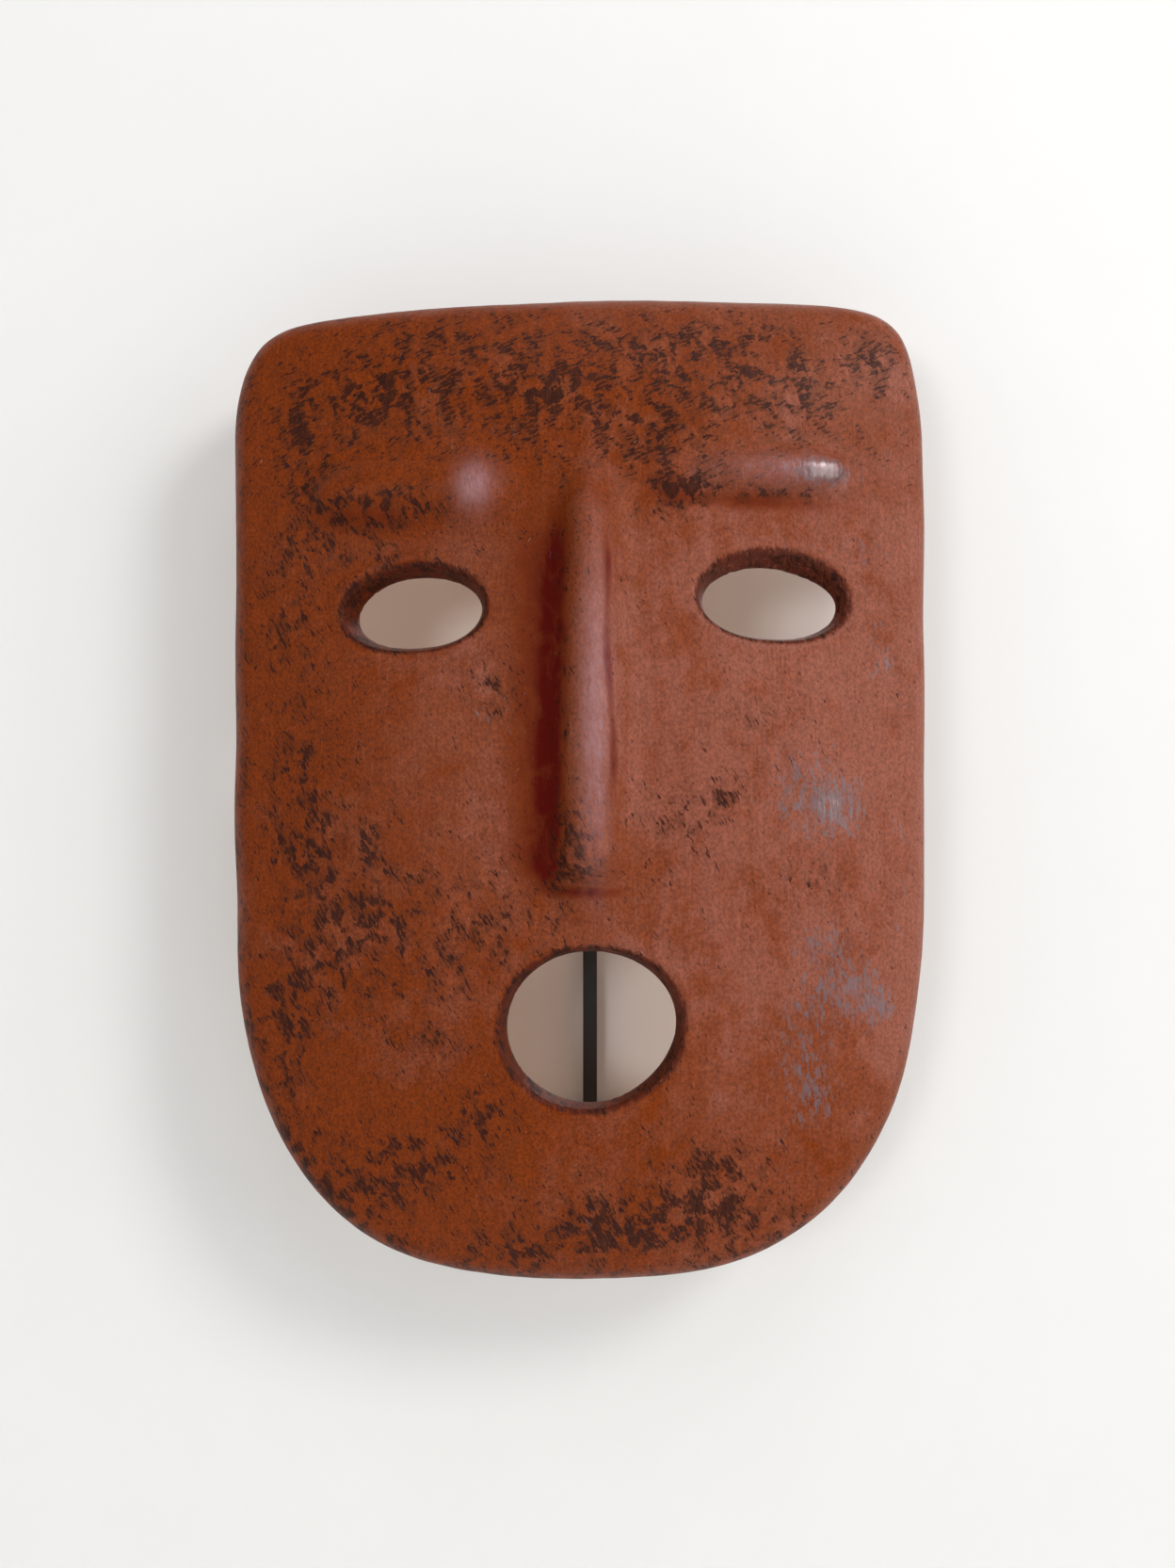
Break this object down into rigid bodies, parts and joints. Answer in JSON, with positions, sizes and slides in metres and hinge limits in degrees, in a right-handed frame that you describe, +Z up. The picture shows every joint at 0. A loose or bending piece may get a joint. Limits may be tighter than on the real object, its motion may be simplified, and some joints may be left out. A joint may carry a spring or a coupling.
{
  "type": "clay wall mask with hanging bracket",
  "caption": "Hollow fired clay face mask with long bar nose, oval eye holes and round mouth, resting on a slim steel wall bracket it lifts off.",
  "frame": {"origin": "on the wall, midway between the two screw holes of the main wall plate", "axes": "+Z up the face, +Y into the wall so the face looks along -Y, +X to the right as seen from in front"},
  "size_m": [0.2332, 0.0811, 0.3266],
  "materials": {
    "clay": "burnished, smoke mottled",
    "steel": "satin black",
    "sleeve": "matt",
    "buffer": "matt"
  },
  "bodies": {
    "bracket": {"spine_bar": "steel", "plate_main": "steel", "plate_foot": "steel", "hook_yoke": "steel", "foot_yoke": "steel", "sleeve_left": "sleeve", "sleeve_right": "sleeve", "buffer_left": "buffer", "buffer_right": "buffer"},
    "mask": {"mask_shell": "clay"}
  },
  "joints": [
    {"name": "mask_lift_off", "type": "slide", "parent": "bracket", "child": "mask", "axis": [0, -0.7071, 0.7071], "range_m": [0, 0.12]}
  ]
}
